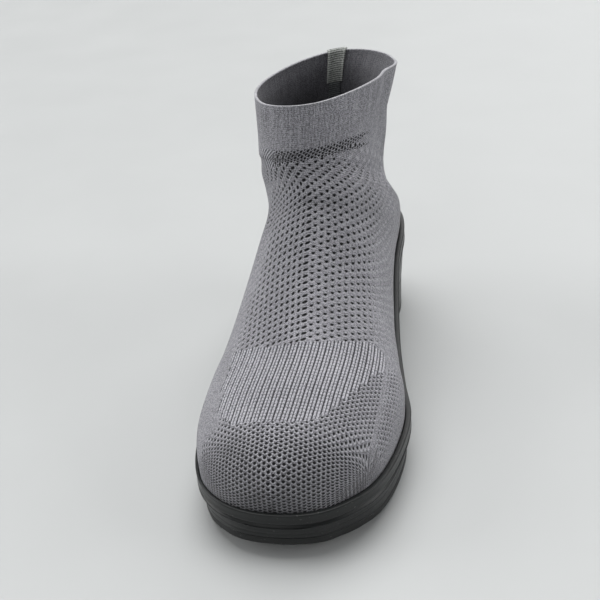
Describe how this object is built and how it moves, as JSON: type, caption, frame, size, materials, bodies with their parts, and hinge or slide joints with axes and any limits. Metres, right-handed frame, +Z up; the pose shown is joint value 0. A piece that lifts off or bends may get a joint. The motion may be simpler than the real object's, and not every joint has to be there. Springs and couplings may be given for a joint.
{
  "type": "knitted sock boot",
  "caption": "Ankle-high knitted sock boot, right foot, with a rib cuff, open mesh instep and toe, and a rimmed black wedge sole.",
  "frame": {"origin": "middle of the boot's box, on the floor it stands on", "axes": "+Z up, +Y from the toe to the heel, +X to the inner side of the foot"},
  "size_m": [0.1002, 0.259, 0.1597],
  "materials": {
    "tread_rubber": "matt moulded rubber",
    "sole_foam": "smooth moulded foam with a soft sheen",
    "knit": "mid grey knitted yarn, matt",
    "liner": "dark grey brushed cloth",
    "ribbon": "woven ribbon, slightly glossy"
  },
  "bodies": {
    "root": {"outsole": "tread_rubber", "midsole": "sole_foam", "upper": "knit", "insole": "liner", "seam_tape": "ribbon", "pull_tape": "ribbon"}
  },
  "joints": []
}
